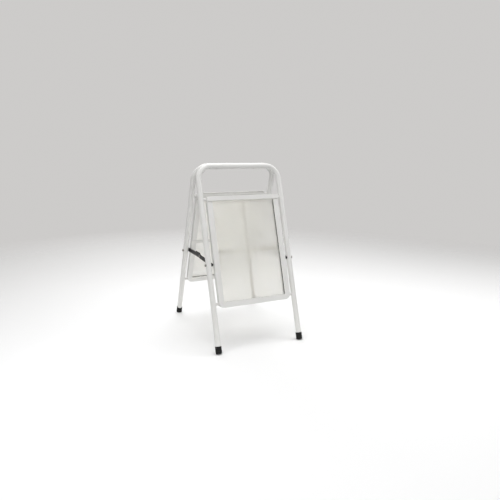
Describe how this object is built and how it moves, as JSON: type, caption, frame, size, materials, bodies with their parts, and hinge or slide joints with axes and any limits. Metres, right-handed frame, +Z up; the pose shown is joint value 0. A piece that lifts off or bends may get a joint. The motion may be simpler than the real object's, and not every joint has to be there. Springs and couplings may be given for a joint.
{
  "type": "a-frame pavement sign",
  "caption": "Folding A-frame pavement sign: bent tube legs hinged under their top bars, each frame with a framed opal poster panel, black folding side stays and rubber feet.",
  "frame": {"origin": "on the floor, at the middle of the four feet", "axes": "+X across the width, front frame towards -Y, +Z up; drawn open"},
  "size_m": [0.393, 0.5332, 0.714],
  "materials": {
    "white_coat": "satin powder coat",
    "opal_sheet": "satin",
    "black_rubber": "matte",
    "black_steel": "satin",
    "zinc": "plated"
  },
  "bodies": {
    "front_frame": {"front_glazing_strip": "black_rubber", "front_hinge_knuckles": "white_coat", "front_left_foot": "black_rubber", "front_leg_tube": "white_coat", "front_level_brace": "white_coat", "front_panel_channel": "white_coat", "front_panel_standoffs": "white_coat", "front_right_foot": "black_rubber", "front_sheet": "opal_sheet", "front_stay_bolts": "zinc", "front_stay_nuts": "black_steel", "front_stay_washers": "black_steel", "front_top_rail": "white_coat", "front_upright_brace": "white_coat", "hinge_pins": "zinc"},
    "rear_frame": {"rear_glazing_strip": "black_rubber", "rear_hinge_knuckles": "white_coat", "rear_left_foot": "black_rubber", "rear_leg_tube": "white_coat", "rear_level_brace": "white_coat", "rear_panel_channel": "white_coat", "rear_panel_standoffs": "white_coat", "rear_right_foot": "black_rubber", "rear_sheet": "opal_sheet", "rear_stay_bolts": "zinc", "rear_stay_nuts": "black_steel", "rear_stay_washers": "black_steel", "rear_top_rail": "white_coat", "rear_upright_brace": "white_coat"},
    "left_front_link": {"left_front_link": "black_steel", "left_lap_rivet_outer": "zinc"},
    "left_rear_link": {"left_rear_link": "black_steel", "left_lap_rivet_inner": "zinc"},
    "right_front_link": {"right_front_link": "black_steel", "right_lap_rivet_outer": "zinc"},
    "right_rear_link": {"right_rear_link": "black_steel", "right_lap_rivet_inner": "zinc"}
  },
  "joints": [
    {"name": "fold", "type": "hinge", "parent": "front_frame", "child": "rear_frame", "pos_m": [0, 0, 0.69351], "axis": [-1, 0, 0], "range_deg": [0, 38]},
    {"name": "left_front_stay", "type": "hinge", "parent": "front_frame", "child": "left_front_link", "pos_m": [-0.16755, -0.14194, 0.32787], "axis": [1, 0, 0], "range_deg": [0, 63.66]},
    {"name": "left_rear_stay", "type": "hinge", "parent": "rear_frame", "child": "left_rear_link", "pos_m": [-0.16475, 0.14194, 0.32787], "axis": [-1, 0, 0], "range_deg": [0, 63.66]},
    {"name": "right_front_stay", "type": "hinge", "parent": "front_frame", "child": "right_front_link", "pos_m": [0.16755, -0.14194, 0.32787], "axis": [1, 0, 0], "range_deg": [0, 63.66]},
    {"name": "right_rear_stay", "type": "hinge", "parent": "rear_frame", "child": "right_rear_link", "pos_m": [0.16475, 0.14194, 0.32787], "axis": [-1, 0, 0], "range_deg": [0, 63.66]}
  ],
  "couplings": [
    {"joint": "left_front_stay", "follows": "fold", "ratio": 1.6752},
    {"joint": "left_rear_stay", "follows": "fold", "ratio": 1.6752},
    {"joint": "right_front_stay", "follows": "fold", "ratio": 1.6752},
    {"joint": "right_rear_stay", "follows": "fold", "ratio": 1.6752}
  ]
}
